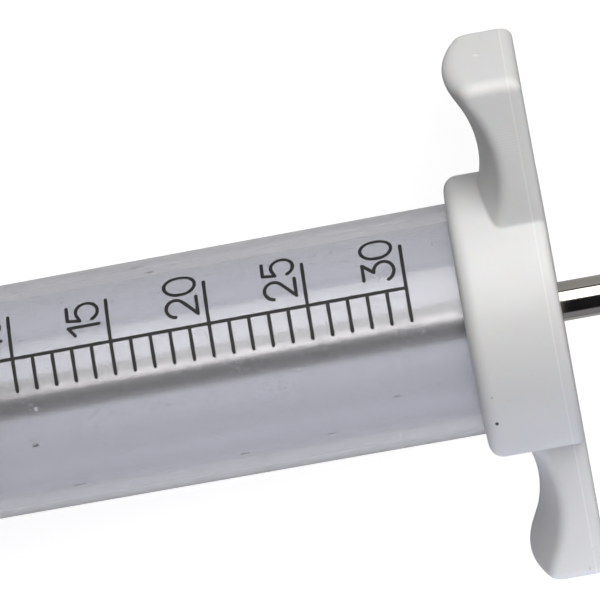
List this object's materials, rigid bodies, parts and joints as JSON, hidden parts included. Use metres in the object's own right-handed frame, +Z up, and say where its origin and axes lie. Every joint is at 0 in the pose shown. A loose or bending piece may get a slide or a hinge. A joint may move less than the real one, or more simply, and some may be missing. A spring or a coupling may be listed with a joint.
{
  "type": "luer lock syringe",
  "caption": "Reusable syringe with a clear graduated barrel, a screw-on grip cap with two finger wings, a metal plunger rod with thumb button, and a fluted front cap with a locking luer tip.",
  "frame": {"origin": "centre of the mouth of the luer tip, on the barrel's axis", "axes": "+X runs along the barrel's axis from the luer tip to the thumb button, +Z is up as the syringe lies on its side, and the two finger wings lie level along +Y and -Y"},
  "size_m": [0.1327, 0.0656, 0.0336],
  "materials": {
    "clear_nylon": "clear, faintly frosted moulded nylon",
    "white_nylon": "white moulded nylon with a soft sheen",
    "chrome_plate": "bright plating on turned brass",
    "black_rubber": "smooth black rubber",
    "scale_print": "black printed graduation"
  },
  "bodies": {
    "barrel": {"barrel": "clear_nylon"},
    "piston": {"piston_core": "white_nylon", "piston_ring_front": "black_rubber", "piston_ring_rear": "black_rubber"},
    "plunger": {"plunger_rod": "chrome_plate", "piston_front_plate": "chrome_plate", "piston_rear_plate": "chrome_plate", "piston_nut": "chrome_plate", "button_lock_nut": "chrome_plate", "thumb_button": "chrome_plate"},
    "nozzle": {"front_gasket": "black_rubber", "luer_nozzle": "chrome_plate", "lock_collar": "chrome_plate"},
    "front_cap": {"front_cap": "chrome_plate"},
    "rear_seal": {"rear_washer": "black_rubber"},
    "grip": {"grip_cap": "white_nylon"}
  },
  "joints": [
    {"name": "plunger_slide", "type": "slide", "parent": "barrel", "child": "piston", "axis": [1, 0, 0], "range_m": [-0.00697, 0.06273]},
    {"name": "rod_turn", "type": "hinge", "parent": "piston", "child": "plunger", "pos_m": [0.02782, 0, 0], "axis": [1, 0, 0], "continuous": true},
    {"name": "front_cap_lift", "type": "slide", "parent": "barrel", "child": "nozzle", "axis": [-1, 0, 0], "range_m": [0, 0.0061]},
    {"name": "front_cap_turn", "type": "hinge", "parent": "nozzle", "child": "front_cap", "pos_m": [0.015, 0, 0], "axis": [-1, 0, 0], "range_deg": [0, 1080]},
    {"name": "grip_lift", "type": "slide", "parent": "barrel", "child": "rear_seal", "axis": [1, 0, 0], "range_m": [0, 0.0061]},
    {"name": "grip_turn", "type": "hinge", "parent": "rear_seal", "child": "grip", "pos_m": [0.1043, 0, 0], "axis": [1, 0, 0], "range_deg": [0, 1080]}
  ],
  "couplings": [
    {"joint": "front_cap_lift", "follows": "front_cap_turn", "m_per_rad": 0.00031831},
    {"joint": "grip_lift", "follows": "grip_turn", "m_per_rad": 0.00031831}
  ]
}
